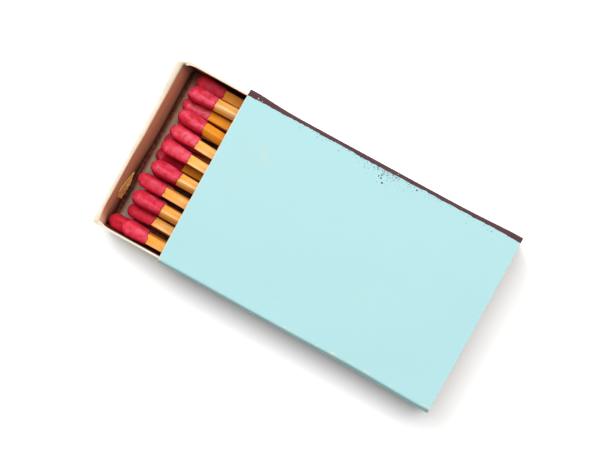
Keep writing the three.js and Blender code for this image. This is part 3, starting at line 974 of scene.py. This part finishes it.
def tray_painted_light(point, within):
    """How far a point of the tray takes a warm tint of painted shade and bounce light, red bounce light and
    painted shade, each from 0 to 1.
    """
    x, y, z = point - TRAY_ORIGIN
    far = y > 0
    depth = TRAY_HEIGHT - z
    # painted shade in the small tear
    to_tear = hypot(point.x - TEAR[0], point.y - TEAR[1])
    tear = hump(to_tear, TEAR_REACH) if depth < TEAR_DEPTH else 0.0
    if not within:
        return 0.0, 0.0, tear
    inside = TRAY_HALF_X - END_WALL - abs(x)
    to_side = TRAY_HALF_Y - TRAY_CARD - abs(y)
    above = z - TRAY_CARD
    on_panel = PANEL_ZONE[0] < inside < PANEL_ZONE[1]
    on_wall = abs(to_side) < WALL_ZONE and inside > WALL_START
    # the painted bounce light is strongest near the heads, at the drawn-out end
    bounce_share = lerp(FAR_FROM_HEADS, 1.0, ease(*BOUNCE_FADE, x + TRAY_HALF_X))
    soil = red = corner = nook = 0.0
    # a warm tint of painted shade and red bounce light on the rolled-in end panels
    if on_panel:
        soil = bounce_share * ease(*BOUNCE_DEPTH, depth) * lerp(FLOOR_BOUNCE, 1.0, ease(*BOUNCE_RISE, above))
        soil *= lerp(0.0 if far else NEAR_SIDE_BOUNCE, 1.0, ease(*BOUNCE_SIDE, to_side))
    # painted red bounce light on the long walls
    if on_wall:
        red = bounce_share * ease(*RED_BOUNCE_DEPTH, depth) * (1.0 if far else NEAR_RED_BOUNCE)
    # painted shade in the far corners
    if far and on_panel:
        corner = mound(*CORNER_SHADE, to_side) * ease(*CORNER_DEPTH, depth)
    # painted shade on the floor along the far wall
    if far and above < FLOOR_ZONE:
        nook = mound(*NOOK_SHADE, max(0.0, to_side - NOOK_START))
    # painted shade along the foot of the end walls
    band_height = lerp(*BAND_HEIGHTS, ease(*BAND_CHANGE, y))
    band = mound(BAND_SHADE, band_height, max(0.0, above)) * hump(max(0.0, inside - BAND_START), BAND_REACH)
    band = min(1.0, band) * ease(*BAND_BACK, inside)
    # painted shade under the matches
    under = ease(*UNDER_START, inside) * ease(*UNDER_DEPTH, depth)
    under *= FAR_WALL_UNDER if far and on_wall else 1.0
    # painted shade on the inside of the near wall
    near = 0.0 if far else NEAR_WALL_SHADE * red
    return soil, red, max(band, under, corner, tear, near, nook)


def build_tray(card_finish, inner_finish):
    """Each part that is added tells which of its points face the inside of the tray or its folds."""
    skin = Skin()
    within = add_trough(skin)
    for turn in (1, -1):
        within += add_end_wall(skin, turn)
        for side in (1, -1):
            within += add_tab(skin, turn, side)
    soil = [tray_painted_light(*pair) for pair in zip(skin.points, within, strict=True)]
    for value, numbers in zip(("soil", "red", "grime"), zip(*soil)):
        skin.values[value] = numbers
    make_piece("tray_card", skin, [card_finish, inner_finish], "tray", ["tray"])


def along_points(points, part):
    """A place along a chain of points, from 0 to 1."""
    place = part * (len(points) - 1)
    k = min(int(place), len(points) - 2)
    return Vector(points[k]).lerp(Vector(points[k + 1]), place - k)


def build_flake(flake_finish):
    """A torn ply of the rolled end wall that has come away along its lower edge."""
    skin = Skin()
    wall = TRAY_LOW.x + END_WALL
    grid = []
    for part in shares(FLAKE_ROWS):
        along = (FLAKE_LENGTH * part, 0, 0)
        upper = along_points(FLAKE_UPPER_EDGE, part)
        lower = along_points(FLAKE_LOWER_EDGE, part)
        upper.y += add_waves(along, FLAKE_UPPER_TEETH)
        lower.y += add_waves(along, FLAKE_LOWER_TEETH)
        row = []
        for down in shares(FLAKE_COLUMNS):
            y, z = upper.lerp(lower, down)
            lift = FLAKE_LIFT + FLAKE_LIFT_CHANGE * ripple((y, z, 0), FLAKE_WAVE, FLAKE_SEED)
            back = wall + FLAKE_GAP + lift * down**FLAKE_CURL
            card = FLAKE_CARD * (1 - FLAKE_THINNED * down)
            row.append((Vector((back + card, y, z)), Vector((back, y, z))))
        grid.append(row)
    skin.add_sheet(grid)
    make_piece("torn_flake", skin, [flake_finish], "tray")


# Matches, each built about the tip of its head with its length along X

JOINT_AXIS = {joint["name"]: Vector(joint["axis"]) for joint in frame["joints"]}


class MatchPlace:
    """Where a match lies: its axes at the tip of its head, and the ends of its head and splint."""

    def __init__(self, label):
        along = -JOINT_AXIS[f"match_{label}_slide"].normalized()
        head, splint = (frame["nodes"][kind + label].data for kind in ("head_", "splint_"))
        flat = max(splint.polygons, key=lambda polygon: polygon.area).normal
        up = max((flat, -flat, flat.cross(along), along.cross(flat)), key=lambda facing: facing.z)
        up = (up - up.dot(along) * along).normalized()
        middle = sum((vertex.co for vertex in splint.vertices), Vector()) / len(splint.vertices)
        on_head, on_splint = ([vertex.co.dot(along) for vertex in mesh.vertices] for mesh in (head, splint))
        tip = min(on_head)
        origin = middle + (tip - middle.dot(along)) * along
        turn = Matrix((along, up.cross(along), up)).transposed().to_4x4()
        self.matrix = Matrix.Translation(origin) @ turn
        self.head_length = (max(on_head) - tip) / MM
        self.splint_start = (min(on_splint) - tip) / MM
        self.splint_end = (max(on_splint) - tip) / MM
        self.rise = origin.z / MM

    def underside(self, point):
        """Painted shade, from 0 for what lies open to the light to 1 for what lies low on the near side, of
        a point round the match.
        """
        out = Vector((0, point[1], point[2]))
        facing = AXIS_FACING
        if out.length > AXIS_REACH:
            facing = (self.matrix.to_3x3() @ out.normalized()).dot(LIT_WAY)
        return ease(*UNDER_RANGE, facing)


def rounded_square(angle, exponent):
    """Reach of a rounded square in the direction of an angle, 1 across its flats."""
    total = abs(cos(angle)) ** exponent + abs(sin(angle)) ** exponent
    return total ** (-1 / exponent)


def head_profile(length):
    """Pairs of place along a head and half width, from the round tip to the foot closed on the splint."""
    profile = []
    for part in shares(DOME_RINGS)[1:]:
        angle = QUARTER * part
        profile.append((HEAD_DOME * (1 - cos(angle)), HEAD_HALF_WIDTH * sin(angle)))
    for part in shares(BODY_RINGS)[1:]:
        width = lerp(HEAD_HALF_WIDTH, FOOT_HALF_WIDTH, HEAD_TAPER * part**HEAD_TAPER_POWER)
        profile.append((lerp(HEAD_DOME, length - FOOT_DEPTH, part), width))
    return profile + [(length - before, half_width) for before, half_width in FOOT_RINGS]


def head_pits(draws, length):
    """Small pits, each a point on the head, a reach and a depth."""
    pits = []
    for _ in range(PITS_PER_HEAD):
        x = draws.uniform(PIT_START, PIT_END * length)
        angle = draws.uniform(0, 4 * QUARTER)
        width = HEAD_HALF_WIDTH * min(1.0, sqrt(x / HEAD_DOME))
        point = Vector((x, width * cos(angle), width * sin(angle)))
        pits.append((point, draws.uniform(*PIT_REACH), draws.uniform(*PIT_DEPTH)))
    return pits


def build_head(label, place, finish, draws):
    skin = Skin()
    seed = draws.uniform(*WAVE_SEEDS)
    slant, slant_way = draws.uniform(*FOOT_SLANT), draws.uniform(0, 4 * QUARTER)
    width, tip_lean = draws.uniform(*HEAD_WIDTHS), draws.uniform(-TIP_LEAN, TIP_LEAN)
    pits = head_pits(draws, place.head_length)
    length = place.head_length + FOOT_PAST.get(label, PLAIN_FOOT_PAST)
    sides = []
    for angle in round_angles(HEAD_SIDES):
        across, up = cos(angle), sin(angle)
        uneven = slant * cos(angle - slant_way) + add_waves((across, up, 0), FOOT_WAVES, seed)
        sides.append((angle, Vector((0, across, up)), uneven))
    rings = []
    for x, half_width in head_profile(length):
        squared = ease(0.0, HEAD_DOME, x)
        widened = lerp(1.0, width, 1 - ease(*WIDTH_FADE, x / length))
        bend = tip_lean * (1 - squared)
        ring = []
        for angle, way, uneven in sides:
            along = x + uneven * (x / length) ** 4
            reach = half_width * rounded_square(angle, lerp(2.0, HEAD_SQUARENESS, squared))
            point = Vector((along, 0, 0)) + reach * way
            if half_width > SPLINT_HALF:
                swell = add_waves(point, HEAD_WAVES, seed)
                for pit, pit_reach, depth in pits:
                    swell -= mound(depth, pit_reach, (point - pit).length)
                room = HEAD_ROOM[0] if way.z > 0 else HEAD_ROOM[1]
                reach = min((reach + swell) * widened, reach + room)
            ring.append(Vector((along, bend, 0.5 * bend)) + reach * way)
        rings.append(ring)
    skin.add_tube(Vector((0, tip_lean, 0.5 * tip_lean)), rings, Vector((length - FOOT_RINGS[-1][0], 0, 0)))
    # painted shade: over a whole listed head, and on buried heads behind their tips
    tone = HEAD_SHADES.get(label, 0.0)
    buried = BURIED_SHADE if place.rise < LOWER_LAYER_SHADE[0][0] else 0.0
    # painted shade in the deeper pits
    deep = [(pit, reach) for pit, reach, depth in pits if depth > SHADED_PIT_DEPTH]
    skin.values["under"] = [
        max(tone, buried * ease(*BURIED_START, point.x), place.underside(point))
        for point in skin.points
    ]
    skin.values["pit"] = [
        max((hump((point - pit).length, reach) for pit, reach in deep), default=0.0)
        for point in skin.points
    ]
    name, body, nodes = "match_head_" + label, "match_" + label, ["head_" + label]
    make_piece(name, skin, [finish], body, nodes, place.matrix, HEAD_SHARP_ANGLE)


def splint_outline():
    """Points round a square with slightly rounded edges."""
    flat = SPLINT_HALF - SPLINT_EDGE
    edge = Vector((flat, flat)) + SPLINT_EDGE * Vector((cos(QUARTER / 2), sin(QUARTER / 2)))
    points = []
    for quarter in range(4):
        turn = Matrix.Rotation(quarter * QUARTER, 2)
        for part in shares(SPLINT_SIDE_STEPS):
            points.append(turn @ Vector((SPLINT_HALF, lerp(-flat, flat, part))))
        points.append(turn @ edge)
    return points


def build_splint(label, place, finish, draws):
    skin = Skin()
    seed = draws.uniform(*WAVE_SEEDS)
    bow_y, bow_z = draws.uniform(-SPLINT_BOW, SPLINT_BOW), draws.uniform(-SPLINT_BOW, SPLINT_BOW)
    twist = radians(draws.uniform(-SPLINT_TWIST, SPLINT_TWIST))
    outline = splint_outline()
    stations = graded(place.splint_end - place.splint_start, SPLINT_SPACING)
    rings = []
    for station in stations:
        x = place.splint_start + station
        part = x / place.splint_end
        turn = Matrix.Rotation(twist * part, 2)
        arch = 4 * part * (1 - part)
        ring = []
        for point in outline:
            grain = sum(
                share * ripple((x / stretch, *point), size, seed) for share, stretch, size in SPLINT_GRAIN
            )
            y, z = turn @ (point * (1 + SPLINT_RELIEF * grain))
            cut = 0.0
            if station == stations[-1]:
                cut = SPLINT_CUT * (1 + ripple((*point, 0), SPLINT_CUT_WAVE, seed))
            ring.append(Vector((x - cut, y + bow_y * arch, z + bow_z * arch + TAIL_LIFT * part**2)))
        rings.append(ring)
    skin.add_tube(Vector((place.splint_start, 0, 0)), rings, Vector((place.splint_end, 0, 0)))
    skin.values["tone"] = [TONES.get(label, draws.uniform(*OTHER_TONES))] * len(skin.points)
    # painted shade on the sides turned from the light
    skin.values["under"] = [place.underside(point) for point in skin.points]
    # painted shade on the splints of the lower layers, but not on the listed splints
    dust = 0.0 if label in UNSHADED_SPLINTS else next((dust for top, dust in LOWER_LAYER_SHADE if place.rise < top), 0.0)
    skin.values["dust"] = [dust] * len(skin.points)
    name, body, nodes = "match_splint_" + label, "match_" + label, ["splint_" + label]
    make_piece(name, skin, [finish], body, nodes, place.matrix)


def build_matches(wood, compound):
    draws = random.Random(MATCH_SEED)
    for name in sorted(frame["nodes"]):
        if name.startswith("head_"):
            label = name.removeprefix("head_")
            place = MatchPlace(label)
            build_head(label, place, compound, draws)
            build_splint(label, place, wood, draws)


# Floor, light and camera


def build_stage():
    mesh = bpy.data.meshes.new("floor")
    corners = [(FLOOR_HALF * x, FLOOR_HALF * y, 0) for x, y in ((-1, -1), (1, -1), (1, 1), (-1, 1))]
    mesh.from_pydata(corners, [], [(0, 1, 2, 3)])
    mesh.materials.append(pale_floor())
    floor = add_object("floor", mesh)
    floor.location.z = -FLOOR_DROP


def add_softbox(name, direction, distance, size, power):
    """A rectangular light that faces the box, with its width along X."""
    light = bpy.data.lights.new(name, "AREA")
    light.shape = "RECTANGLE"
    light.size, light.size_y = size
    light.energy = power
    back = Vector(direction).normalized()
    right = (Vector((1, 0, 0)) - back.x * back).normalized()
    turn = Matrix((right, back.cross(right), back)).transposed().to_4x4()
    add_object(name, light).matrix_world = Matrix.Translation(back * distance) @ turn


def build_light():
    scene = bpy.context.scene
    scene.world = bpy.data.worlds.new("soft_room")
    scene.world.use_nodes = True
    background = scene.world.node_tree.nodes["Background"]
    background.inputs["Color"].default_value = WHITE
    background.inputs["Strength"].default_value = ROOM_LIGHT
    for name, settings in SOFTBOXES.items():
        add_softbox(name, *settings)
    scene.view_settings.view_transform = "Standard"


def build_camera():
    data = bpy.data.cameras.new("camera")
    data.lens = CAMERA_LENS
    data.sensor_width = CAMERA_SENSOR
    data.clip_start = CLIP_START
    camera = add_object("camera", data)
    camera.location = CAMERA_PLACE * MM
    camera.rotation_euler = [radians(turn) for turn in CAMERA_TURN]
    bpy.context.scene.camera = camera


build_camera()
build_stage()
build_light()
inner_card = bare_card("inner_card", *INNER_CARD)
cream_card = bare_card("plain_card", *CREAM_CARD, with_painted_light=True)
tray_board = bare_card("tray_board", *TRAY_BOARD, with_painted_light=True)
torn_card = bare_card("torn_card", *TORN_CARD)
build_sleeve(printed_card(), inner_card)
build_strikers(striker_coat())
build_tray(cream_card, tray_board)
build_flake(torn_card)
build_matches(splint_wood(), head_compound())

bpy.context.view_layer.update()
